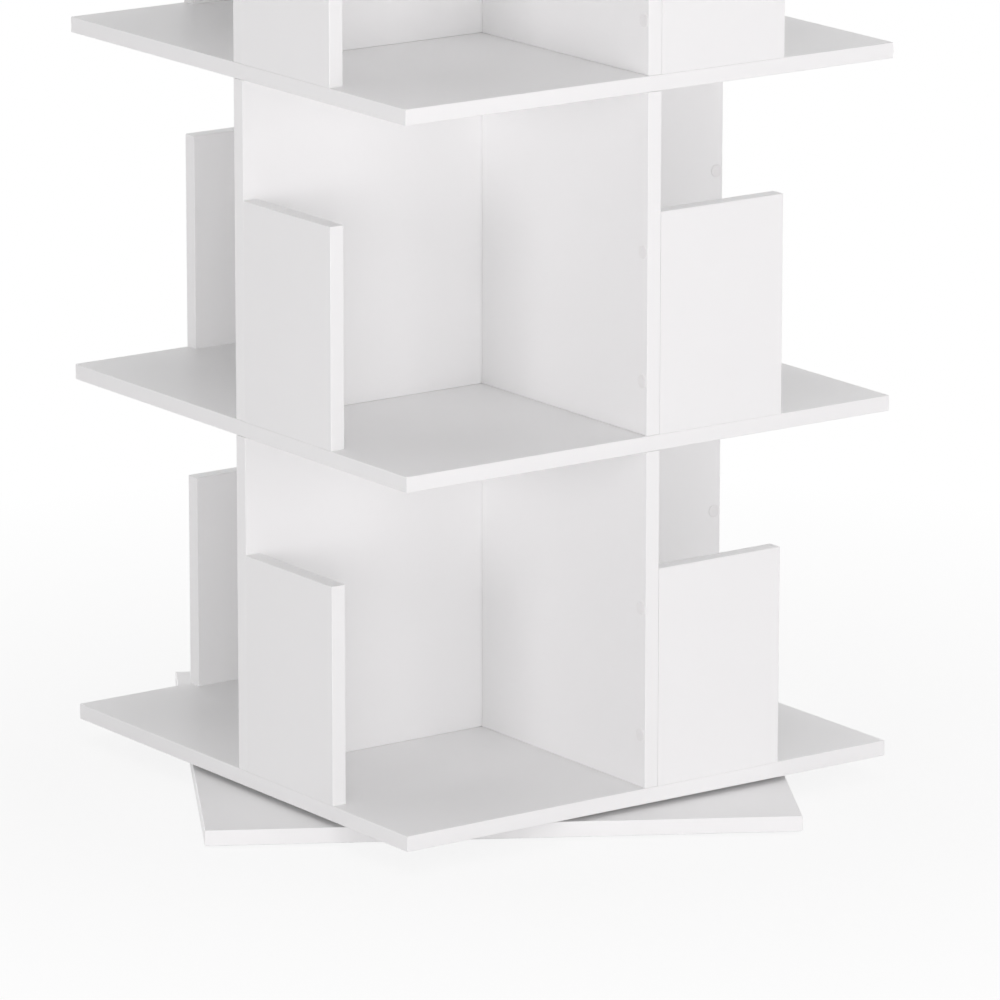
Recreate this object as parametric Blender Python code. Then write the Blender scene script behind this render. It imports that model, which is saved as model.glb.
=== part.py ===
# Rotating shelf unit: a square tower of open compartments, made of thin coated boards,
# that turns without end on a pressed-steel ball-bearing turntable set into a square base.
# Metres, +Z up. The origin is on the floor, on the axis that the tower turns about.
# The tower's sides lie along X and Y. The base is stored turned away from them.

import math

import bmesh
import bpy
from mathutils import Matrix, Vector

# Boards of the tower
SHELF_WIDTH = 0.550         # side of each square shelf
BOARD_THICKNESS = 0.015     # shelves, dividers and end panels
CLEAR_HEIGHT = 0.320        # from a shelf's top face to the next shelf's underside
TIER_COUNT = 4
PANEL_LENGTH = 0.140        # end panel, along the shelf's edge
PANEL_HEIGHT = 0.208        # end panel, above the shelf
EDGE_ROUND = 0.0008         # radius of the edge banding
EDGE_STEPS = 2

# Base
BASE_WIDTH = 0.552
BASE_THICKNESS = 0.015
BASE_TURN = math.radians(-30.5)
GLIDE_RADIUS = 0.014
GLIDE_THICKNESS = 0.0015
GLIDE_INSET = 0.045           # centre of a glide from the base's sides
GLIDE_ROUND = 0.0004

# Turntable: two pressed plates, a ring of balls in a cage, a washer and a tubular rivet
PLATE_WIDTH = 0.200
PLATE_CORNER = 0.018
SHEET = 0.0012              # thickness of the plates' steel
RACE_RADIUS = 0.065         # circle that the balls' centres run on
BALL_RADIUS = 0.00275
BALL_COUNT = 12
RIDGE_HEIGHT = 0.0022       # the pressed centre stands this far off the mounting flange
RIDGE_WIDTH = 0.0040        # flat ring outside the ball groove
SCREW_INSET = 0.012         # screw holes from the plate's sides
SCREW_HOLE_RADIUS = 0.0024
POCKET_DEPTH = 0.0046       # pocket in the base that takes the lower plate
POCKET_CLEARANCE = 0.0010   # all round the lower plate
DRIVER_HOLE_RADIUS = 0.010  # through the base, to reach the upper plate's screws
CAGE_WIDTH = 0.014
RIVET_RADIUS = 0.0057       # outside of the rivet's tube
RIVET_WALL = 0.0015
RIVET_HEAD_RADIUS = 0.0110
RIVET_HEAD_THICKNESS = 0.0012
WASHER_RADIUS = 0.0130

# Clearances
SEAT_GAP = 0.0003           # between pieces that rest on or are fixed to each other
RUN_GAP = 0.0003            # round the balls, the cage, the washer and the rivet
FACET_SAG = 0.00012         # how far a flat facet may lie inside the true round

GROOVE_STEPS = 6
CORNER_STEPS = 5

# Levels
base_underside = GLIDE_THICKNESS + SEAT_GAP
base_top = base_underside + BASE_THICKNESS
turntable_bottom = base_top - POCKET_DEPTH + SEAT_GAP
turntable_height = 2 * (SHEET + RUN_GAP + BALL_RADIUS)
tower_bottom = turntable_bottom + turntable_height + SEAT_GAP
tier_pitch = CLEAR_HEIGHT + BOARD_THICKNESS

# Levels inside the turntable, above its own underside
ball_level = turntable_height / 2
ridge_top = RIDGE_HEIGHT + SHEET
ridge_gap = turntable_height - 2 * ridge_top
screw_reach = PLATE_WIDTH / 2 - SCREW_INSET


def clear_scene():
    for item in list(bpy.data.objects):
        bpy.data.objects.remove(item, do_unlink=True)


def make_material(name, color, roughness, metallic=0.0):
    material = bpy.data.materials.new(name)
    material.use_nodes = True
    shader = material.node_tree.nodes["Principled BSDF"]
    shader.inputs["Base Color"].default_value = (*color, 1.0)
    shader.inputs["Roughness"].default_value = roughness
    shader.inputs["Metallic"].default_value = metallic
    material.diffuse_color = (*color, 1.0)
    return material


def make_axis(name, level, turn=0.0):
    # an empty on the turning axis, which carries the pieces of one body
    axis = bpy.data.objects.new(name, None)
    axis.location = (0.0, 0.0, level)
    axis.rotation_euler = (0.0, 0.0, turn)
    bpy.context.scene.collection.objects.link(axis)
    return axis


def make_object(name, bm, material, parent=None, location=(0.0, 0.0, 0.0), smooth=False):
    bmesh.ops.recalc_face_normals(bm, faces=bm.faces[:])
    mesh = bpy.data.meshes.new(name)
    bm.to_mesh(mesh)
    bm.free()
    if smooth:
        mesh.shade_smooth()
        mesh.set_sharp_from_angle(angle=math.radians(35))
    mesh.materials.append(material)
    item = bpy.data.objects.new(name, mesh)
    item.parent = parent
    item.location = location
    bpy.context.scene.collection.objects.link(item)
    return item


# Loops of points, walls between them and caps across them

def round_steps(radius):
    # sides of a round whose facets stay within FACET_SAG of it, in whole eighths of a turn
    half_step = math.acos(1 - FACET_SAG / radius)
    return 8 * math.ceil(math.pi / half_step / 8)


def circle(radius, steps, centre=(0.0, 0.0)):
    angles = [2 * math.pi * i / steps for i in range(steps)]
    return [(centre[0] + radius * math.cos(a), centre[1] + radius * math.sin(a)) for a in angles]


def rounded_square(width, corner):
    reach = width / 2 - corner
    points = []
    for quarter in range(4):
        turn = Matrix.Rotation(quarter * math.pi / 2, 2)
        for i in range(CORNER_STEPS + 1):
            angle = math.pi / 2 * i / CORNER_STEPS
            point = Vector((reach + corner * math.cos(angle), reach + corner * math.sin(angle)))
            points.append(tuple(turn @ point))
    return points


def add_loop(bm, points, level):
    verts = [bm.verts.new((x, y, level)) for x, y in points]
    for a, b in zip(verts, verts[1:] + verts[:1]):
        bm.edges.new((a, b))
    return verts


def add_wall(bm, low, high):
    count = len(low)
    for i in range(count):
        j = (i + 1) % count
        bm.faces.new((low[i], low[j], high[j], high[i]))


def add_cap(bm, loops):
    # one flat face across several loops: the first is the outline, the rest are holes
    edges = []
    for verts in loops:
        for a, b in zip(verts, verts[1:] + verts[:1]):
            edges.append(bm.edges.get((a, b)))
    bmesh.ops.triangle_fill(bm, use_beauty=True, edges=edges)


def add_slab(bm, loops, bottom, top):
    low = [add_loop(bm, points, bottom) for points in loops]
    high = [add_loop(bm, points, top) for points in loops]
    for a, b in zip(low, high):
        add_wall(bm, a, b)
    add_cap(bm, low)
    add_cap(bm, high)


def revolve(bm, profile, steps, closed=False):
    # profile: (radius, level) pairs
    rings = [add_loop(bm, circle(radius, steps), level) for radius, level in profile]
    for inner, outer in zip(rings, rings[1:]):
        add_wall(bm, inner, outer)
    if closed:
        add_wall(bm, rings[-1], rings[0])
    return rings


# Boards

def make_board(name, low, high, material, parent):
    # a board between two corners, with its banded edges rounded over
    low, high = Vector(low), Vector(high)
    bm = bmesh.new()
    bmesh.ops.create_cube(bm, size=1.0, matrix=Matrix.Diagonal((*(high - low), 1.0)))
    board = make_object(name, bm, material, parent, (low + high) / 2)
    bevel = board.modifiers.new("edge_banding", "BEVEL")
    bevel.width = EDGE_ROUND
    bevel.segments = EDGE_STEPS
    return board


def make_cutter(name, bm, parent):
    cutter = make_object(name, bm, cutter_material, parent)
    cutter.hide_render = True
    cutter.display_type = "WIRE"
    return cutter


def cut(item, cutter):
    boolean = item.modifiers.new(cutter.name, "BOOLEAN")
    boolean.operation = "DIFFERENCE"
    boolean.solver = "EXACT"
    boolean.object = cutter


def make_shelf(name, level):
    half = SHELF_WIDTH / 2
    make_board(name, (-half, -half, level), (half, half, level + BOARD_THICKNESS), shelf_board, tower)


def make_tier(number, floor_level):
    # floor_level: the top face of the shelf that this tier stands on
    half = SHELF_WIDTH / 2
    bottom = floor_level + SEAT_GAP
    top = floor_level + CLEAR_HEIGHT - SEAT_GAP
    panel_top = floor_level + PANEL_HEIGHT

    # the long divider runs right across, with its back face on the centre plane
    long_back = 0.0
    long_front = long_back - BOARD_THICKNESS
    # the front and back dividers butt against its two faces, centred on X
    side = BOARD_THICKNESS / 2

    dividers = {
        "long": ((-half, long_front), (half, long_back)),
        "front": ((-side, -half), (side, long_front - SEAT_GAP)),
        "back": ((-side, long_back + SEAT_GAP), (side, half)),
    }
    for place, (low, high) in dividers.items():
        make_board(f"tier_{number}_{place}_divider", (*low, bottom), (*high, top), divider_board, tower)

    # one end panel on each side, flush with the shelf's edge, its end against a divider's face
    near = side + SEAT_GAP
    far = near + PANEL_LENGTH
    inner = half - BOARD_THICKNESS
    left_start = long_front - SEAT_GAP
    right_start = long_back + SEAT_GAP
    panels = {
        "front": ((near, -half), (far, -inner)),
        "right": ((inner, right_start), (half, right_start + PANEL_LENGTH)),
        "back": ((-far, inner), (-near, half)),
        "left": ((-half, left_start - PANEL_LENGTH), (-inner, left_start)),
    }
    for place, (low, high) in panels.items():
        make_board(f"tier_{number}_{place}_panel", (*low, bottom), (*high, panel_top), panel_board, tower)


def make_base():
    half = BASE_WIDTH / 2
    board = make_board("base_board", (-half, -half, base_underside), (half, half, base_top),
                       base_material, base)

    # the pocket for the lower plate, open at the top
    pocket = bmesh.new()
    outline = rounded_square(PLATE_WIDTH + 2 * POCKET_CLEARANCE, PLATE_CORNER + POCKET_CLEARANCE)
    add_slab(pocket, [outline], base_top - POCKET_DEPTH, base_top + POCKET_DEPTH)
    cut(board, make_cutter("pocket_cutter", pocket, base))

    # the hole beside the pocket, as far out as the upper plate's screws
    hole = bmesh.new()
    centre = (0.0, -screw_reach * math.sqrt(2))
    ring = circle(DRIVER_HOLE_RADIUS, round_steps(DRIVER_HOLE_RADIUS), centre)
    add_slab(hole, [ring], base_underside - BASE_THICKNESS, base_top + BASE_THICKNESS)
    cut(board, make_cutter("driver_hole_cutter", hole, base))

    # a glide near each corner, its lower edge turned in
    reach = half - GLIDE_INSET
    steps = round_steps(GLIDE_RADIUS)
    profile = [(GLIDE_RADIUS - GLIDE_ROUND, 0.0), (GLIDE_RADIUS, GLIDE_ROUND),
               (GLIDE_RADIUS, GLIDE_THICKNESS)]
    for number, (x, y) in enumerate(((-1, -1), (1, -1), (1, 1), (-1, 1)), start=1):
        bm = bmesh.new()
        rings = revolve(bm, profile, steps)
        add_cap(bm, rings[:1])
        add_cap(bm, rings[-1:])
        make_object(f"glide_{number}", bm, glide_material, base, (x * reach, y * reach, 0.0), smooth=True)


# Turntable

def groove(radius, edge_level):
    # the groove's arc round the balls' circle, from its inner to its outer edge at edge_level
    half_angle = math.acos((ball_level - edge_level) / radius)
    angles = [half_angle * (2 * i / GROOVE_STEPS - 1) for i in range(GROOVE_STEPS + 1)]
    return [(RACE_RADIUS + radius * math.sin(a), ball_level - radius * math.cos(a)) for a in angles]


def plate_mesh():
    # a pressed plate, flange down: flat centre, ball groove, ridge, sloping wall, square flange
    bm = bmesh.new()
    groove_radius = BALL_RADIUS + RUN_GAP
    hub_hole = RIVET_RADIUS + RUN_GAP
    bend = SHEET * math.tan(math.pi / 8)        # keeps the 45 degree wall as thick as the sheet
    upper = groove(groove_radius, ridge_top)
    lower = groove(groove_radius + SHEET, RIDGE_HEIGHT)
    ridge_end = lower[-1][0] + RIDGE_WIDTH
    wall_end = ridge_end + RIDGE_HEIGHT
    upper = [(hub_hole, ridge_top)] + upper + [(ridge_end + bend, ridge_top), (wall_end + bend, SHEET)]
    lower = [(hub_hole, RIDGE_HEIGHT)] + lower + [(ridge_end, RIDGE_HEIGHT), (wall_end, 0.0)]

    steps = round_steps(wall_end)
    upper_rings = revolve(bm, upper, steps)
    lower_rings = revolve(bm, lower, steps)
    add_wall(bm, lower_rings[0], upper_rings[0])

    hole_steps = round_steps(SCREW_HOLE_RADIUS)
    corners = [(x * screw_reach, y * screw_reach) for x, y in ((-1, -1), (1, -1), (1, 1), (-1, 1))]
    loops = [rounded_square(PLATE_WIDTH, PLATE_CORNER)]
    loops += [circle(SCREW_HOLE_RADIUS, hole_steps, corner) for corner in corners]
    low = [add_loop(bm, points, 0.0) for points in loops]
    high = [add_loop(bm, points, SHEET) for points in loops]
    for a, b in zip(low, high):
        add_wall(bm, a, b)
    add_cap(bm, low + [lower_rings[-1]])
    add_cap(bm, high + [upper_rings[-1]])
    return bm


def make_turntable():
    level = turntable_bottom
    make_object("turntable_lower_plate", plate_mesh(), steel, base, (0.0, 0.0, level), smooth=True)
    upper = make_object("turntable_upper_plate", plate_mesh(), steel, tower,
                        (0.0, 0.0, level + turntable_height), smooth=True)
    upper.rotation_euler = (math.pi, 0.0, 0.0)

    # the cage is a flat ring midway between the plates, with a round pocket for each ball
    bm = bmesh.new()
    pocket_radius = BALL_RADIUS + RUN_GAP
    ball_angles = [2 * math.pi * i / BALL_COUNT for i in range(BALL_COUNT)]
    places = [(RACE_RADIUS * math.cos(a), RACE_RADIUS * math.sin(a)) for a in ball_angles]
    steps = round_steps(RACE_RADIUS + CAGE_WIDTH / 2)
    loops = [circle(RACE_RADIUS + CAGE_WIDTH / 2, steps), circle(RACE_RADIUS - CAGE_WIDTH / 2, steps)]
    loops += [circle(pocket_radius, round_steps(pocket_radius), place) for place in places]
    half_cage = ridge_gap / 2 - RUN_GAP
    add_slab(bm, loops, -half_cage, half_cage)
    make_object("turntable_cage", bm, nylon, cage, smooth=True)

    for number, (x, y) in enumerate(places, start=1):
        ball = bmesh.new()
        bmesh.ops.create_uvsphere(ball, u_segments=12, v_segments=8, radius=BALL_RADIUS)
        make_object(f"turntable_ball_{number:02d}", ball, ball_steel, cage, (x, y, 0.0), smooth=True)

    # the washer keeps the plates' centres apart
    bm = bmesh.new()
    half_washer = ridge_gap / 2 - RUN_GAP
    bore = RIVET_RADIUS + RUN_GAP
    steps = round_steps(WASHER_RADIUS)
    add_slab(bm, [circle(WASHER_RADIUS, steps), circle(bore, steps)], -half_washer, half_washer)
    make_object("turntable_washer", bm, nylon, base, (0.0, 0.0, level + ball_level), smooth=True)

    # the rivet's two heads keep the plates from coming apart
    head_inside = ball_level - RIDGE_HEIGHT + RUN_GAP
    head_outside = head_inside + RIVET_HEAD_THICKNESS
    bore = RIVET_RADIUS - RIVET_WALL
    profile = [(bore, -head_outside), (RIVET_HEAD_RADIUS, -head_outside), (RIVET_HEAD_RADIUS, -head_inside),
               (RIVET_RADIUS, -head_inside), (RIVET_RADIUS, head_inside), (RIVET_HEAD_RADIUS, head_inside),
               (RIVET_HEAD_RADIUS, head_outside), (bore, head_outside)]
    bm = bmesh.new()
    revolve(bm, profile, round_steps(RIVET_HEAD_RADIUS), closed=True)
    make_object("turntable_rivet", bm, rivet_steel, base, (0.0, 0.0, level + ball_level), smooth=True)


clear_scene()

shelf_board = make_material("shelf_board", (0.92, 0.91, 0.91), 0.40)
divider_board = make_material("divider_board", (0.92, 0.92, 0.92), 0.40)
panel_board = make_material("panel_board", (0.92, 0.92, 0.92), 0.40)
base_material = make_material("base_board", (0.92, 0.91, 0.91), 0.40)
glide_material = make_material("glide", (0.16, 0.16, 0.17), 0.55)
steel = make_material("plate_steel", (0.60, 0.60, 0.61), 0.35, 1.0)
ball_steel = make_material("ball_steel", (0.75, 0.75, 0.76), 0.12, 1.0)
rivet_steel = make_material("rivet_steel", (0.62, 0.62, 0.62), 0.30, 1.0)
nylon = make_material("nylon", (0.82, 0.82, 0.80), 0.50)
cutter_material = make_material("cutter", (0.90, 0.30, 0.20), 0.50)

base = make_axis("base_axis", 0.0, BASE_TURN)
cage = make_axis("cage_axis", turntable_bottom + ball_level)
tower = make_axis("tower_axis", 0.0)

make_base()
make_turntable()
for index in range(TIER_COUNT):
    shelf_level = tower_bottom + index * tier_pitch
    make_shelf(f"shelf_{index + 1}", shelf_level)
    make_tier(index + 1, shelf_level + BOARD_THICKNESS)
make_shelf("top_board", tower_bottom + TIER_COUNT * tier_pitch)
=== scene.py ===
import math
import random

import bmesh
import bpy
from mathutils import Matrix, Vector


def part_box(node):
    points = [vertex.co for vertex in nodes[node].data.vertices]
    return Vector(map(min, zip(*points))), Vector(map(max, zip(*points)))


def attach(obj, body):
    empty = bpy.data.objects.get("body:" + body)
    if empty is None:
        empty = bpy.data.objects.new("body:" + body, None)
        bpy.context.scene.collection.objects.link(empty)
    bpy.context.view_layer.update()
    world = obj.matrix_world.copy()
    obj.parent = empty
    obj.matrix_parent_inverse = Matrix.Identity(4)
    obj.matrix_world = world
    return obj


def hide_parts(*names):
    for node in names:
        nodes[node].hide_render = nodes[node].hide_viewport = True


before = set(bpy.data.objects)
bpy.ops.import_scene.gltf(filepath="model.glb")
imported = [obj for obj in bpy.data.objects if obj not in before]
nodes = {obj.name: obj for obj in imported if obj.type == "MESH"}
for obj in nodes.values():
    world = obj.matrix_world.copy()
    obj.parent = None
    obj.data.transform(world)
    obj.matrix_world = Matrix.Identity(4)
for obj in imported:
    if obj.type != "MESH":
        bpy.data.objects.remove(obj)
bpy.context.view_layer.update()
print("frame loaded:", len(nodes), "nodes")


# Node trees: arithmetic on a Value adds Math nodes, and everything else comes from NodeTree.node

class Value:
    def __init__(self, owner, socket):
        self.owner = owner
        self.socket = socket

    def math(self, operation, *terms):
        return self.owner.node("ShaderNodeMath", {"operation": operation}, dict(enumerate(terms)))

    def __add__(self, other):
        return self.math("ADD", self, other)

    def __radd__(self, other):
        return self.math("ADD", other, self)

    def __sub__(self, other):
        return self.math("SUBTRACT", self, other)

    def __rsub__(self, other):
        return self.math("SUBTRACT", other, self)

    def __mul__(self, other):
        return self.math("MULTIPLY", self, other)

    def __rmul__(self, other):
        return self.math("MULTIPLY", other, self)

    def __truediv__(self, other):
        return self.math("DIVIDE", self, other)

    def __rtruediv__(self, other):
        return self.math("DIVIDE", other, self)

    def __pow__(self, other):
        return self.math("POWER", self, other)

    def __rpow__(self, other):
        return self.math("POWER", other, self)

    def __abs__(self):
        return self.math("ABSOLUTE", self)

    def under(self, limit):
        return self.math("LESS_THAN", self, limit)

    def over(self, limit):
        return self.math("GREATER_THAN", self, limit)

    def smallest(self, other):
        return self.math("MINIMUM", self, other)

    def largest(self, other):
        return self.math("MAXIMUM", self, other)

    def clamped(self):
        return self.owner.node("ShaderNodeClamp", {}, {0: self})


class NodeTree:
    def __init__(self, tree):
        self.tree = tree

    def node(self, kind, settings=None, inputs=None, output=0):
        # settings come first, because some of them change which sockets there are
        made = self.tree.nodes.new(kind)
        for name, setting in (settings or {}).items():
            setattr(made, name, setting)
        for name, given in (inputs or {}).items():
            self.plug(made.inputs[name], given)
        return Value(self, made.outputs[output])

    def plug(self, socket, given):
        if isinstance(given, Value):
            self.tree.links.new(given.socket, socket)
        else:
            socket.default_value = given

    def axes(self, vector):
        split = self.node("ShaderNodeSeparateXYZ", {}, {0: vector}).socket.node
        return [Value(self, split.outputs[i]) for i in range(3)]


class Finish(NodeTree):
    # a material: its tree, and the Principled shader that the tree's patterns feed
    def __init__(self, name, **constants):
        self.material = bpy.data.materials.new(name)
        self.material.use_nodes = True
        super().__init__(self.material.node_tree)
        self.shader = self.tree.nodes["Principled BSDF"]
        for socket, value in constants.items():
            self.set(socket, value)

    def set(self, socket, given):
        self.plug(self.shader.inputs[socket], given)

    def place(self, turn=0.0):
        # object coordinates, turned about Z where a pattern needs it
        spot = self.node("ShaderNodeTexCoord", output="Object")
        if turn:
            spot = self.node("ShaderNodeMapping", {"vector_type": "TEXTURE"}, {
                "Vector": spot, "Rotation": (0.0, 0.0, turn)})
        return spot

    def noise(self, spot, size, detail=2.0, rough=0.5):
        # size: about one wave of the pattern, in metres
        return self.node("ShaderNodeTexNoise", {}, {
            "Vector": spot, "Scale": 1.0 / size, "Detail": detail, "Roughness": rough})

    def cells(self, spot, size):
        # one random tone for each cell of a pattern of flakes or chips
        tints = self.node("ShaderNodeTexVoronoi", {}, {"Vector": spot, "Scale": 1.0 / size}, "Color")
        return self.axes(tints)[0]

    def mix(self, share, first, second):
        # a Mix node's colours are its inputs 6 and 7, and its output 2
        return self.node("ShaderNodeMix", {"data_type": "RGBA"}, {
            "Factor": share, 6: colour(first), 7: colour(second)}, 2)

    def shade(self, given, amount):
        # a colour times a value
        return self.node("ShaderNodeVectorMath", {"operation": "SCALE"}, {0: given, "Scale": amount})

    def bump(self, height, depth, strength=1.0, under=None):
        inputs = {"Height": height, "Distance": depth, "Strength": strength}
        if under:
            inputs["Normal"] = under
        return self.node("ShaderNodeBump", {}, inputs)


def colour(given):
    # a fixed colour gets its alpha, a linked one stays as it is
    return (*given, 1.0) if isinstance(given, tuple) else given


# Finished pieces stand for the solids: the same shape with its loose triangles merged, and with its
# pressed edges sawn

joints = {
    "clearance": 0.0003,        # left between the solids
    "hairline": 0.00003,        # left between boards that are screwed tight
    "round": 0.0008,            # on the solids' edges
    "merge": 0.00002,           # corners closer than this become one
    "sharpAngle": 50.0,         # edges that turn by less are smooth, in degrees
    "flatAngle": 0.1,           # faces that lie within this many degrees become one
}


def seat(mesh, body, slotName, *replaced):
    # every finished piece comes through here: it rides a body and may stand for CAD nodes
    piece = bpy.data.objects.new(mesh.name, mesh)
    bpy.context.scene.collection.objects.link(piece)
    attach(piece, body)
    if replaced:
        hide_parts(*replaced)


def smoothed(mesh):
    mesh.shade_smooth()
    mesh.set_sharp_from_angle(angle=math.radians(joints["sharpAngle"]))


def plainMesh(item):
    # the evaluated mesh of a helper object, which is then removed
    evaluated = item.evaluated_get(bpy.context.evaluated_depsgraph_get())
    mesh = bpy.data.meshes.new_from_object(evaluated)
    item.modifiers.clear()
    bpy.data.objects.remove(item)
    return mesh


def sawEdge(bm, axis, direction, face, arris):
    # an edge that is pressed against another board has no band: its round gives way to a small arris,
    # and its face moves up to the other board
    outwards, roundStart = Vector(), Vector()
    outwards[axis] = direction
    roundStart[axis] = face - direction * joints["round"]
    bmesh.ops.bisect_plane(
        bm, geom=[*bm.verts, *bm.edges, *bm.faces], dist=joints["merge"],
        plane_co=roundStart, plane_no=outwards, clear_outer=True)
    end = face + direction * (joints["clearance"] - joints["hairline"])
    # each ring of new corners has a level and an inset
    rings = [(end - direction * arris, 0.0), (end, arris)] if arris else [(end, 0.0)]
    across = [other for other in range(3) if other != axis]
    middle = sum((vertex.co for vertex in bm.verts), Vector()) / len(bm.verts)
    for level, inset in rings:
        rim = [edge for edge in bm.edges if edge.is_boundary]
        made = bmesh.ops.extrude_edge_only(bm, edges=rim)["geom"]
        for vertex in [item for item in made if isinstance(item, bmesh.types.BMVert)]:
            vertex.co[axis] = level
            for other in across:
                vertex.co[other] -= math.copysign(inset, vertex.co[other] - middle[other])
    bmesh.ops.contextual_create(bm, geom=[edge for edge in bm.edges if edge.is_boundary])


def finishedCopy(node, material, body, slotName, pressed=None):
    bm = bmesh.new()
    bm.from_mesh(nodes[node].data)
    bmesh.ops.remove_doubles(bm, verts=bm.verts, dist=joints["merge"])
    if pressed:
        low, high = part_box(node)
        for (axis, direction), arris in pressed.items():
            sawEdge(bm, axis, direction, high[axis] if direction > 0 else low[axis], arris)
        bmesh.ops.recalc_face_normals(bm, faces=bm.faces)
    bmesh.ops.dissolve_limit(
        bm, angle_limit=math.radians(joints["flatAngle"]), verts=bm.verts, edges=bm.edges)
    mesh = bpy.data.meshes.new(node)
    bm.to_mesh(mesh)
    bm.free()
    smoothed(mesh)
    mesh.materials.clear()
    mesh.materials.append(material)
    holder = bpy.data.objects.new(node, mesh)
    bpy.context.scene.collection.objects.link(holder)
    flat = holder.modifiers.new("flat_faces_stay_flat", "WEIGHTED_NORMAL")
    flat.keep_sharp = True
    finished = plainMesh(holder)
    finished.name = node + "_finished"
    seat(finished, body, slotName, node)


# Coated boards

boardLook = {
    "white": (0.921, 0.921, 0.921),
    "band": (0.926, 0.926, 0.926),
    "bandThickness": 0.0008,
    "glueLine": 0.00010,        # the seam between the edge band and the face
    "glueShade": 0.16,
    "glueGroove": 0.5,          # how strongly the seam dents the surface
    "refraction": 1.50,
    "roughness": 0.40,
    "roughnessSpread": 0.10,
    "bandGloss": 0.06,          # how much smoother the band is
    "bandPearl": 0.4,           # how much of the grain shows on the band
    "pearl": 0.0007,            # the coating's fine grain
    "pearlDepth": 0.000008,
    "wave": 0.030,              # the chips that show faintly through the coating
    "waveDepth": 0.000030,
    "cloud": 0.180,             # wide, faint changes of tone on a board
    "cloudSpread": 0.012,
    "toneSpread": 0.006,        # from board to board
}
chips = {
    "pale": (0.60, 0.46, 0.30),
    "dark": (0.36, 0.25, 0.14),
    "coarse": 0.0042,           # the size of the larger chips
    "fine": 0.0011,
    "coarseShare": 0.45,
    "warp": 0.0030,             # how far their outlines bend
    "flatness": 3.0,            # the chips lie flat, so they bend less in height
    "depth": 0.0002,
    "roughness": 0.45,          # more than the coating's
}
tones = random.Random(7)        # each board gets its own tone


def bandDistance(axes, low, high, sides):
    # how far a point lies inside the nearest banded edge
    nearest = None
    for axis, sign in sides:
        reach = high[axis] - axes[axis] if sign > 0 else axes[axis] - low[axis]
        nearest = nearest.smallest(reach) if nearest else reach
    return nearest


def boardFinish(name, low, high, sides, turn=0.0):
    look, spread = boardLook, boardLook["roughnessSpread"]
    finish = Finish(name, IOR=look["refraction"])
    spot = finish.place(turn)
    axes = finish.axes(spot)
    inside = bandDistance(axes, low, high, sides)
    onBand = ((look["bandThickness"] - inside) / (look["glueLine"] / 2) + 0.5).clamped()
    onGlue = (1.0 - abs(inside - look["bandThickness"]) / look["glueLine"]).clamped()

    tone = 1.0 + tones.uniform(-1.0, 1.0) * look["toneSpread"]
    cloud = finish.noise(spot, look["cloud"], detail=3.0)
    face = finish.shade(look["white"], tone * (1.0 + (cloud - 0.5) * look["cloudSpread"]))
    coated = finish.mix(onBand, face, tuple(c * tone for c in look["band"]))
    coated = finish.shade(coated, 1.0 - onGlue * look["glueShade"])

    pearl = finish.noise(spot, look["pearl"], detail=1.0)
    wave = finish.noise(spot, look["wave"])
    rough = look["roughness"] + (wave - 0.5) * spread + (pearl - 0.5) * spread
    pearlShare = 1.0 - onBand * (1.0 - look["bandPearl"])
    normal = finish.bump(wave, look["waveDepth"])
    normal = finish.bump(pearl * pearlShare, look["pearlDepth"], under=normal)
    normal = finish.bump(1.0 - onGlue, look["glueLine"] / 2, look["glueGroove"], normal)
    finish.set("Base Color", coated)
    finish.set("Roughness", rough - onBand * look["bandGloss"])
    finish.set("Normal", normal)
    return finish, axes, coated, normal


# sides as (axis, direction): the ones with an edge band, and the ones pressed against another board,
# each with the arris of its sawn edges
left, right, front, back, under, upper = (0, -1), (0, 1), (1, -1), (1, 1), (2, -1), (2, 1)
allRound = [left, right, front, back]
sharp, slight, wide = 0.0, 0.0004, 0.0007     # arrises
boardKinds = {
    "shelf": {"slot": "shelf_board", "banded": allRound, "pressed": {}},
    "top_board": {"slot": "shelf_board", "banded": allRound, "pressed": {}},
    "long_divider": {
        "slot": "divider_board", "banded": [left, right],
        "pressed": {under: slight, upper: slight}},
    "front_divider": {
        "slot": "divider_board", "banded": [front],
        "pressed": {under: slight, upper: slight, back: wide}},
    "back_divider": {
        "slot": "divider_board", "banded": [back],
        "pressed": {under: slight, upper: slight, front: wide}},
    "front_panel": {
        "slot": "panel_board", "banded": [upper, right],
        "pressed": {under: sharp, left: sharp}},
    "right_panel": {
        "slot": "panel_board", "banded": [upper, back],
        "pressed": {under: sharp, front: sharp}},
    "back_panel": {
        "slot": "panel_board", "banded": [upper, left],
        "pressed": {under: sharp, right: sharp}},
    "left_panel": {
        "slot": "panel_board", "banded": [upper, front],
        "pressed": {under: sharp, back: sharp}},
}


def dressBoards():
    count = 0
    for name in sorted(nodes):
        kind = next((k for k in boardKinds if k in name), None)
        if kind:
            board = boardKinds[kind]
            finish = boardFinish(name + "_coating", *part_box(name), board["banded"])[0]
            finishedCopy(name, finish.material, "tower", board["slot"], board["pressed"])
            count += 1
    print("boards dressed:", count)


baseTurn = math.radians(-30.5)  # clockwise, seen from above
pocket = {
    "wall": 0.00005,            # takes in the cut faces, and leaves out the coated ones
    "driverHole": 0.0105,       # radius, just past the hole's wall
    "plateMargin": 0.0010,      # round the lower plate
}


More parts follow.
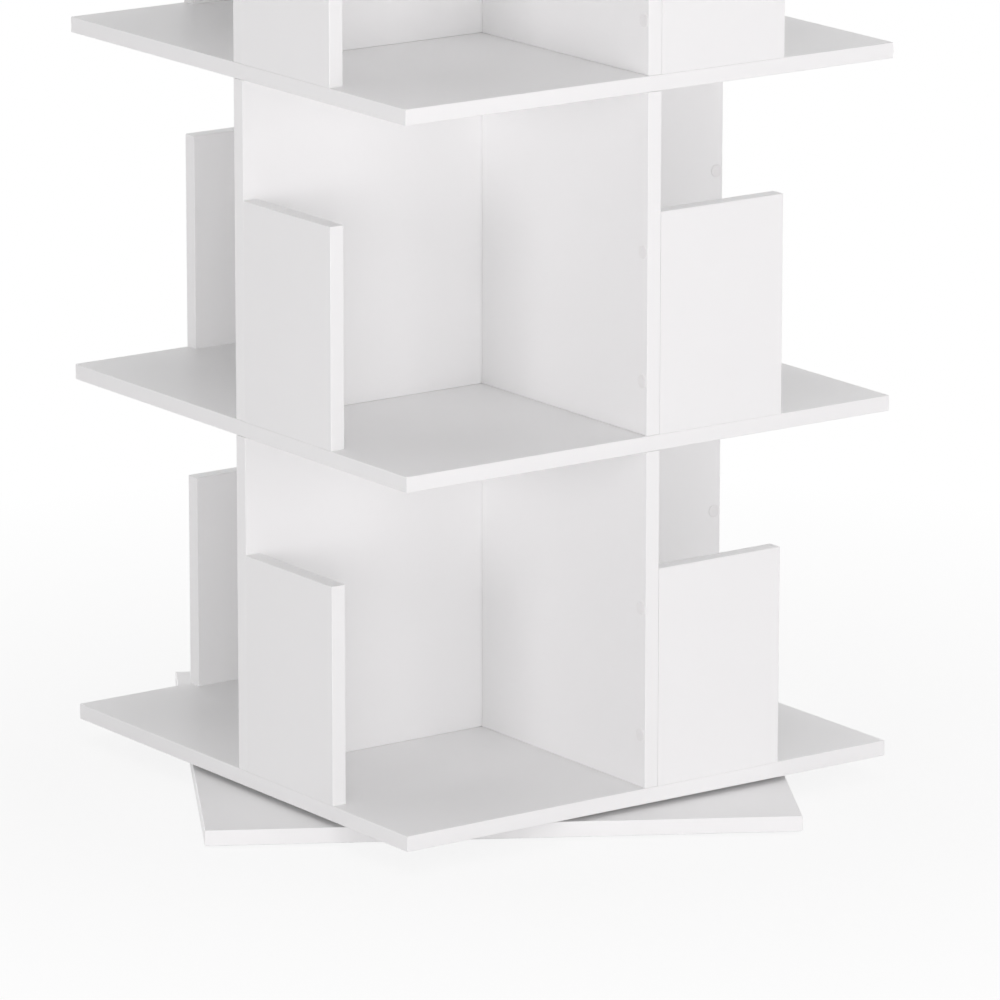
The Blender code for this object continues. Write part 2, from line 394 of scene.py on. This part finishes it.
def dressBase():
    # the base lies turned under the tower, so its own sides are read from its mesh turned back
    item = nodes["base_board"]
    turnBack = Matrix.Rotation(-baseTurn, 3, "Z")
    points = [turnBack @ vertex.co for vertex in item.data.vertices]
    low = Vector(min(p[i] for p in points) for i in range(3))
    high = Vector(max(p[i] for p in points) for i in range(3))
    finish, axes, coated, normal = boardFinish("base_board_coating", low, high, allRound, baseTurn)

    # the pocket and the hole beside it are cut into the bare chipboard
    x, y, z = axes
    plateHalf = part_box("turntable_upper_plate")[1].x
    half = plateHalf + pocket["plateMargin"] + pocket["wall"]
    screwReach = (plateHalf - screwPlaces["inset"]) * math.sqrt(2)
    inPocket = abs(x).largest(abs(y)).under(half)
    holeDistance = (x * x + (y + screwReach) * (y + screwReach)) ** 0.5
    inHole = holeDistance.under(pocket["driverHole"])
    between = z.under(high.z - pocket["wall"]) * z.over(low.z + pocket["wall"])
    raw = inPocket.largest(inHole) * between

    # flat chips of two sizes, bent out of shape by a noise
    spot = finish.place(baseTurn)
    shift = finish.node("ShaderNodeTexNoise", {}, {
        "Vector": spot, "Scale": 1.0 / chips["coarse"]}, "Color")
    bent = finish.node("ShaderNodeVectorMath", {"operation": "MULTIPLY_ADD"}, {
        0: shift, 1: (chips["warp"], chips["warp"], chips["warp"] / chips["flatness"]), 2: spot})
    coarse = finish.cells(bent, chips["coarse"])
    fine = finish.cells(bent, chips["fine"])
    chipTone = coarse * chips["coarseShare"] + fine * (1.0 - chips["coarseShare"])
    chipboard = finish.mix(chipTone, chips["dark"], chips["pale"])
    finish.set("Base Color", finish.mix(raw, coated, chipboard))
    finish.set("Roughness", boardLook["roughness"] + raw * chips["roughness"])
    finish.set("Normal", finish.bump(chipTone * raw, chips["depth"], under=normal))
    finishedCopy("base_board", finish.material, "base", "base_board")
    print("base dressed")


# Turntable and glides, in metal and plastic

# flake and rolling are the sizes of the zinc's flakes and of the fine lines from rolling or drawing
metalLook = {
    "plate": {"colour": (0.60, 0.60, 0.61), "roughness": 0.36, "flake": 0.006, "rolling": 0.0012},
    "rivet": {"colour": (0.62, 0.62, 0.62), "roughness": 0.28, "flake": 0.003, "rolling": 0.0005},
    "ball": {"colour": (0.75, 0.75, 0.76), "roughness": 0.10, "flake": 0.001, "rolling": 0.0003},
    "screw": {"colour": (0.66, 0.62, 0.50), "roughness": 0.30, "flake": 0.002, "rolling": 0.0004},
}
metalWear = {
    "dim": 0.86,                # the darkest flakes, as a share of the colour
    "flakeShare": 0.35,
    "cloudShare": 0.5,
    "cloudSize": 4.0,           # in flakes
    "lineStretch": 0.06,        # the lines run long in Y
    "lineRoughness": 0.16,
    "lineDepth": 0.01,          # in line widths
    "flakeRoughness": 0.06,
}
plasticLook = {
    "nylon": {"colour": (0.82, 0.82, 0.80), "roughness": 0.50, "grain": 0.0005},
    "glide": {"colour": (0.16, 0.16, 0.17), "roughness": 0.55, "grain": 0.0004},
    "cap": {"colour": (0.895, 0.889, 0.890), "roughness": 0.45, "grain": 0.0005},
}
plasticGrain = {
    "refraction": 1.50,
    "cloudSize": 20.0,          # in grains
    "pale": 1.02,
    "dark": 0.96,
    "roughnessSpread": 0.14,
    "depth": 0.05,              # in grains
}


def metalFinish(name):
    look, wear = metalLook[name], metalWear
    finish = Finish(name + "_metal", Metallic=1.0)
    spot = finish.place()
    flakes = finish.cells(spot, look["flake"])
    drawn = finish.node("ShaderNodeVectorMath", {"operation": "MULTIPLY"}, {
        0: spot, 1: (1.0, wear["lineStretch"], 1.0)})
    lines = finish.noise(drawn, look["rolling"], detail=3.0, rough=0.6)
    cloud = finish.noise(spot, look["flake"] * wear["cloudSize"], detail=3.0)
    dim = tuple(c * wear["dim"] for c in look["colour"])
    dimShare = flakes * wear["flakeShare"] + cloud * wear["cloudShare"]
    spread = (lines - 0.5) * wear["lineRoughness"] + (flakes - 0.5) * wear["flakeRoughness"]
    finish.set("Base Color", finish.mix(dimShare, look["colour"], dim))
    finish.set("Roughness", look["roughness"] + spread)
    finish.set("Normal", finish.bump(lines, look["rolling"] * wear["lineDepth"]))
    return finish.material


def plasticFinish(name):
    look, shared = plasticLook[name], plasticGrain
    finish = Finish(name + "_plastic", IOR=shared["refraction"])
    spot = finish.place()
    grain = finish.noise(spot, look["grain"])
    cloud = finish.noise(spot, look["grain"] * shared["cloudSize"])
    pale = tuple(c * shared["pale"] for c in look["colour"])
    dark = tuple(c * shared["dark"] for c in look["colour"])
    finish.set("Base Color", finish.mix(cloud, dark, pale))
    finish.set("Roughness", look["roughness"] + (grain - 0.5) * shared["roughnessSpread"])
    finish.set("Normal", finish.bump(grain, look["grain"] * shared["depth"]))
    return finish.material


def dressTurntable():
    plate = metalFinish("plate")
    nylon = plasticFinish("nylon")
    darkPlastic = plasticFinish("glide")
    finishedCopy("turntable_lower_plate", plate, "base", "plate_steel")
    finishedCopy("turntable_upper_plate", plate, "tower", "plate_steel")
    finishedCopy("turntable_rivet", metalFinish("rivet"), "base", "rivet_steel")
    finishedCopy("turntable_washer", nylon, "base", "nylon")
    finishedCopy("turntable_cage", nylon, "ball_cage", "nylon")
    for name in sorted(nodes):
        if name.startswith("glide"):
            finishedCopy(name, darkPlastic, "base", "glide")
    print("turntable dressed")


# Round fasteners and balls by Geometry Nodes. Each stands on a point that knows which way it faces.

class GeometryTree(NodeTree):
    def __init__(self, name, sizes):
        group = bpy.data.node_groups.new(name, "GeometryNodeTree")
        group.interface.new_socket("Geometry", in_out="INPUT", socket_type="NodeSocketGeometry")
        group.interface.new_socket("Geometry", in_out="OUTPUT", socket_type="NodeSocketGeometry")
        for label, (kind, value) in sizes.items():
            socket = group.interface.new_socket(label, in_out="INPUT", socket_type="NodeSocket" + kind)
            if value is not None:
                socket.default_value = value
        super().__init__(group)
        self.inputNode = group.nodes.new("NodeGroupInput")
        self.outputNode = group.nodes.new("NodeGroupOutput")

    def given(self, label):
        return Value(self, self.inputNode.outputs[label])

    def finish(self, geometry):
        whole = self.node("GeometryNodeRealizeInstances", {}, {0: geometry})
        covered = self.node("GeometryNodeSetMaterial", {}, {
            "Geometry": whole, "Material": self.given("Material")})
        self.plug(self.outputNode.inputs[0], covered)
        return self.tree


def standOnPoints(tree, item):
    facing = tree.node("GeometryNodeInputNamedAttribute", {"data_type": "FLOAT_VECTOR"}, {
        "Name": "facing"})
    turn = tree.node("FunctionNodeAlignRotationToVector", {"axis": "Z"}, {"Vector": facing})
    return tree.node("GeometryNodeInstanceOnPoints", {}, {
        "Points": tree.given("Geometry"), "Instance": item, "Rotation": turn})


discRings = {"sides": 32, "wall": 2, "face": 7}     # of a cap or a screw head


def radiusOf(tree):
    # a point's distance from the head's own axis
    x, y, z = tree.axes(tree.node("GeometryNodeInputPosition"))
    return (x * x + y * y) ** 0.5


def disc(tree, radius, height):
    # a closed round body with rings on both faces, standing on the point
    made = tree.node("GeometryNodeMeshCylinder", {"fill_type": "TRIANGLE_FAN"}, {
        "Vertices": discRings["sides"], "Side Segments": discRings["wall"],
        "Fill Segments": discRings["face"], "Radius": radius, "Depth": height})
    return tree.node("GeometryNodeTransform", {}, {
        "Geometry": made, "Translation": tree.node("ShaderNodeCombineXYZ", {}, {2: height / 2})})


def shapeTop(tree, body, height, level):
    # moves the upper face's rings to a level worked out from their radius. The wall's middle ring, at
    # half the height, stays.
    x, y, z = tree.axes(tree.node("GeometryNodeInputPosition"))
    lift = (level - z) * z.over(height * 0.75)
    return tree.node("GeometryNodeSetPosition", {}, {
        "Geometry": body, "Offset": tree.node("ShaderNodeCombineXYZ", {}, {2: lift})})


def capTree():
    # a push-in cover: a rounded rim round a shallow dish
    tree = GeometryTree("screw_cap", {
        "Radius": ("Float", 0.0062), "Height": ("Float", 0.0007), "Dish": ("Float", 0.00025),
        "Rim": ("Float", 0.0012), "Rim Drop": ("Float", 0.6), "Material": ("Material", None)})
    radius, height, rim = tree.given("Radius"), tree.given("Height"), tree.given("Rim")
    reach = radiusOf(tree)
    rounding = ((reach - (radius - rim * 0.5)) / (rim * 0.5)).clamped()
    dish = ((radius - rim - reach) / rim).clamped()
    level = height - tree.given("Dish") * dish - height * tree.given("Rim Drop") * rounding ** 2.0
    body = shapeTop(tree, disc(tree, radius, height), height, level)
    return tree.finish(standOnPoints(tree, body))


def screwTree():
    # a pan head with a cross recess. Blade, rim and crown are shares of the head's radius and height.
    tree = GeometryTree("pan_screw", {
        "Radius": ("Float", 0.0042), "Height": ("Float", 0.0019), "Recess": ("Float", 0.0011),
        "Blade Length": ("Float", 1.15), "Blade Width": ("Float", 0.26),
        "Rim Height": ("Float", 0.35), "Crown": ("Float", 0.92), "Material": ("Material", None)})
    radius, height, recess = tree.given("Radius"), tree.given("Height"), tree.given("Recess")
    rimHeight = tree.given("Rim Height")
    crown = (1.0 - (radiusOf(tree) / radius) ** 2.0 * tree.given("Crown")).clamped() ** 0.5
    level = height * (rimHeight + (1.0 - rimHeight) * crown)
    head = shapeTop(tree, disc(tree, radius, height), height, level)
    length, width = radius * tree.given("Blade Length"), radius * tree.given("Blade Width")
    # half of each blade is above the head. The second is a little less deep, so that no floors coincide.
    for turn, depth in ((0.0, 2.0), (math.pi / 2, 1.98)):
        size = tree.node("ShaderNodeCombineXYZ", {}, {0: length, 1: width, 2: recess * depth})
        blade = tree.node("GeometryNodeTransform", {}, {
            "Geometry": tree.node("GeometryNodeMeshCube", {}, {"Size": size}),
            "Rotation": (0.0, 0.0, turn),
            "Translation": tree.node("ShaderNodeCombineXYZ", {}, {2: height})})
        head = tree.node("GeometryNodeMeshBoolean", {"operation": "DIFFERENCE", "solver": "EXACT"}, {
            "Mesh 1": head, "Mesh 2": blade})
    return tree.finish(standOnPoints(tree, head))


def ballTree():
    tree = GeometryTree("bearing_balls", {
        "Radius": ("Float", 0.00275), "Rings": ("Int", 20), "Material": ("Material", None)})
    ball = tree.node("GeometryNodeMeshUVSphere", {}, {
        "Segments": tree.given("Rings") * 2, "Rings": tree.given("Rings"),
        "Radius": tree.given("Radius")})
    smooth = tree.node("GeometryNodeSetShadeSmooth", {}, {"Geometry": ball})
    return tree.finish(tree.node("GeometryNodeInstanceOnPoints", {}, {
        "Points": tree.given("Geometry"), "Instance": smooth}))


def growOnPoints(name, tree, places, settings, body, slotName, *replaced):
    # one cap, head or ball on each (point, facing) pair of places, all in one plain mesh
    points = bpy.data.meshes.new(name + "_points")
    points.from_pydata([point for point, facing in places], [], [])
    attribute = points.attributes.new("facing", "FLOAT_VECTOR", "POINT")
    attribute.data.foreach_set("vector", [c for point, facing in places for c in facing])
    holder = bpy.data.objects.new(name + "_points", points)
    bpy.context.scene.collection.objects.link(holder)
    modifier = holder.modifiers.new(name, "NODES")
    modifier.node_group = tree
    for socket in tree.interface.items_tree:
        if socket.name in settings:
            modifier[socket.identifier] = settings[socket.name]
    mesh = plainMesh(holder)
    mesh.name = name
    smoothed(mesh)
    seat(mesh, body, slotName, *replaced)


capPlaces = {"tiers": 4, "rows": (0.050, 0.171)}    # the rows stand this far above each shelf
screwPlaces = {"inset": 0.012, "sheet": 0.0012}     # from the plates' edges, and the plates' thickness


def addCaps():
    # two caps behind each end panel, on the far face of the divider that the panel is screwed to
    places = []
    for tier in range(1, capPlaces["tiers"] + 1):
        for row in capPlaces["rows"]:
            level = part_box(f"shelf_{tier}")[1].z + row
            for panel, divider, face, facing in (
                    ("front", "front", "low", (-1.0, 0.0, 0.0)),
                    ("back", "back", "high", (1.0, 0.0, 0.0)),
                    ("left", "long", "high", (0.0, 1.0, 0.0)),
                    ("right", "long", "low", (0.0, -1.0, 0.0))):
                low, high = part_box(f"tier_{tier}_{panel}_panel")
                wallLow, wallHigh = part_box(f"tier_{tier}_{divider}_divider")
                wall = wallLow if face == "low" else wallHigh
                middle = (low + high) / 2
                spot = (wall.x, middle.y) if facing[0] else (middle.x, wall.y)
                places.append(((*spot, level), facing))
    growOnPoints("screw_caps", capTree(), places, {"Material": plasticFinish("cap")},
                 "tower", "divider_board")
    print("caps:", len(places))


def addScrews():
    # the lower plate is screwed down to the base, the upper plate up to the first shelf
    material = metalFinish("screw")
    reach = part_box("turntable_upper_plate")[1].x - screwPlaces["inset"]
    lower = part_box("turntable_lower_plate")[0].z + screwPlaces["sheet"]
    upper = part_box("turntable_upper_plate")[1].z - screwPlaces["sheet"]
    tree = screwTree()
    for name, body, level, facing, turn in (
            ("lower_plate_screws", "base", lower, 1.0, baseTurn),
            ("upper_plate_screws", "tower", upper, -1.0, 0.0)):
        spin = Matrix.Rotation(turn, 3, "Z")
        places = []
        for x, y in ((-1, -1), (1, -1), (1, 1), (-1, 1)):
            places.append((spin @ Vector((x * reach, y * reach, level)), (0.0, 0.0, facing)))
        growOnPoints(name, tree, places, {"Material": material}, body, "plate_steel")
    print("screws added")


def addBalls():
    names = sorted(name for name in nodes if name.startswith("turntable_ball"))
    places = []
    for name in names:
        low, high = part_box(name)
        places.append(((low + high) / 2, (0.0, 0.0, 1.0)))
    growOnPoints("turntable_balls", ballTree(), places, {"Material": metalFinish("ball")},
                 "ball_cage", "ball_steel", *names)
    print("balls:", len(places))


# Floor, world, lamps and camera

studio = {
    "floorHalf": 9.0,           # half the floor's side
    "floorLevel": -0.0001,      # just under the glides
    "floorTone": 0.90,
    "floorLift": 0.85,          # how much of the floor near the object shows as plain white
    "fadeStart": 0.42,          # from here outwards the floor fades to plain white; inside, it is painted darker towards the object, a faint pool of painted shade round it
    "fadeEnd": 1.15,
    "skyLevel": 0.30,           # the light from all round, which the lamps add to
    "lampTint": (1.0, 0.975, 0.9875),   # the photo's faint warmth
}
softboxes = {
    # round the unit in degrees from -Y towards -X, distance, height, side, watts
    "low_far_right": (-112.0, 5.0, 0.9, 2.6, 30.4),
    "low_right": (-80.0, 5.0, 0.9, 2.6, 65.8),
    "low_front_right": (-20.0, 5.0, 0.9, 1.6, 24.0),
    "low_front": (10.0, 5.0, 0.9, 1.6, 21.5),
    "low_front_left": (40.0, 5.0, 0.9, 1.6, 43.7),
    "low_left": (70.0, 5.0, 0.9, 1.6, 44.6),
    "low_back": (180.0, 5.0, 0.9, 2.6, 81.0),
    "high_front": (0.0, 4.5, 3.2, 2.0, 16.5),
    "overhead": (0.0, 0.01, 4.5, 3.0, 41.5),
}
softboxAim = (0.0, 0.0, 0.6)
view = {
    "place": (-4.16499, -5.85445, 2.05796),
    "azimuth": 35.588,          # degrees to the left of the front
    "down": 14.094,
    "roll": 0.035,
    "lens": 281.95,
    "sensor": 36.0,
    "reach": 100.0,
}


def seenDirectly(tree):
    # 1 for rays that show a surface: from the camera, in a mirror or through glass
    rays = tree.node("ShaderNodeLightPath").socket.node
    camera, glossy, through = [Value(tree, rays.outputs[f"Is {kind} Ray"])
                               for kind in ("Camera", "Glossy", "Transmission")]
    return camera.largest(glossy).largest(through)


def addFloor():
    half, level = studio["floorHalf"], studio["floorLevel"]
    corners = [(-half, -half, level), (half, -half, level), (half, half, level), (-half, half, level)]
    mesh = bpy.data.meshes.new("floor")
    mesh.from_pydata(corners, [], [(0, 1, 2, 3)])
    floor = bpy.data.objects.new("floor", mesh)
    bpy.context.scene.collection.objects.link(floor)
    finish = Finish("pale_floor")
    tone = studio["floorTone"]
    matt = finish.node("ShaderNodeBsdfDiffuse", {}, {"Color": colour((tone, tone, tone))})
    white = finish.node("ShaderNodeEmission", {}, {"Color": (1.0, 1.0, 1.0, 1.0), "Strength": 1.0})
    x, y, z = finish.axes(finish.place())
    distance = (x * x + y * y) ** 0.5
    # less plain white towards the object paints a faint pool of shade round it, on top of the real
    # shadows that the matt part catches
    fade = ((distance - studio["fadeStart"]) / (studio["fadeEnd"] - studio["fadeStart"])).clamped()
    share = studio["floorLift"] + (1.0 - studio["floorLift"]) * fade
    blend = finish.node("ShaderNodeMixShader", {}, {0: share * seenDirectly(finish), 1: matt, 2: white})
    finish.plug(finish.tree.nodes["Material Output"].inputs["Surface"], blend)
    finish.tree.nodes.remove(finish.shader)
    mesh.materials.append(finish.material)


def addWorld():
    world = bpy.data.worlds.new("studio")
    bpy.context.scene.world = world
    world.use_nodes = True
    tree = NodeTree(world.node_tree)
    background = world.node_tree.nodes["Background"]
    strength = studio["skyLevel"] + (1.0 - studio["skyLevel"]) * seenDirectly(tree)
    tree.plug(background.inputs["Strength"], strength)
    tree.plug(background.inputs["Color"], (1.0, 1.0, 1.0, 1.0))


def addLamps():
    aim = Vector(softboxAim)
    for name, (azimuth, distance, height, size, power) in softboxes.items():
        turn = math.radians(azimuth)
        place = Vector((-math.sin(turn) * distance, -math.cos(turn) * distance, height))
        light = bpy.data.lights.new(name, "AREA")
        light.shape = "SQUARE"
        light.size = size
        light.energy = power
        light.color = studio["lampTint"]
        lamp = bpy.data.objects.new(name, light)
        bpy.context.scene.collection.objects.link(lamp)
        lamp.location = place
        lamp.rotation_euler = (aim - place).to_track_quat("-Z", "Y").to_euler()
        lamp.visible_camera = False


def addCamera():
    data = bpy.data.cameras.new("camera")
    camera = bpy.data.objects.new("camera", data)
    bpy.context.scene.collection.objects.link(camera)
    data.lens = view["lens"]
    data.sensor_width = view["sensor"]
    data.sensor_fit = "HORIZONTAL"
    data.clip_end = view["reach"]
    turn = Matrix.Rotation(-math.radians(view["azimuth"]), 3, "Z")
    tilt = Matrix.Rotation(math.radians(90.0 - view["down"]), 3, "X")
    roll = Matrix.Rotation(math.radians(view["roll"]), 3, "Z")
    camera.matrix_world = Matrix.Translation(view["place"]) @ (turn @ tilt @ roll).to_4x4()
    bpy.context.scene.camera = camera


dressBoards()
dressBase()
dressTurntable()
addCaps()
addScrews()
addBalls()
addFloor()
addWorld()
addLamps()
addCamera()
bpy.context.scene.view_settings.view_transform = "Standard"
print("studio ready")
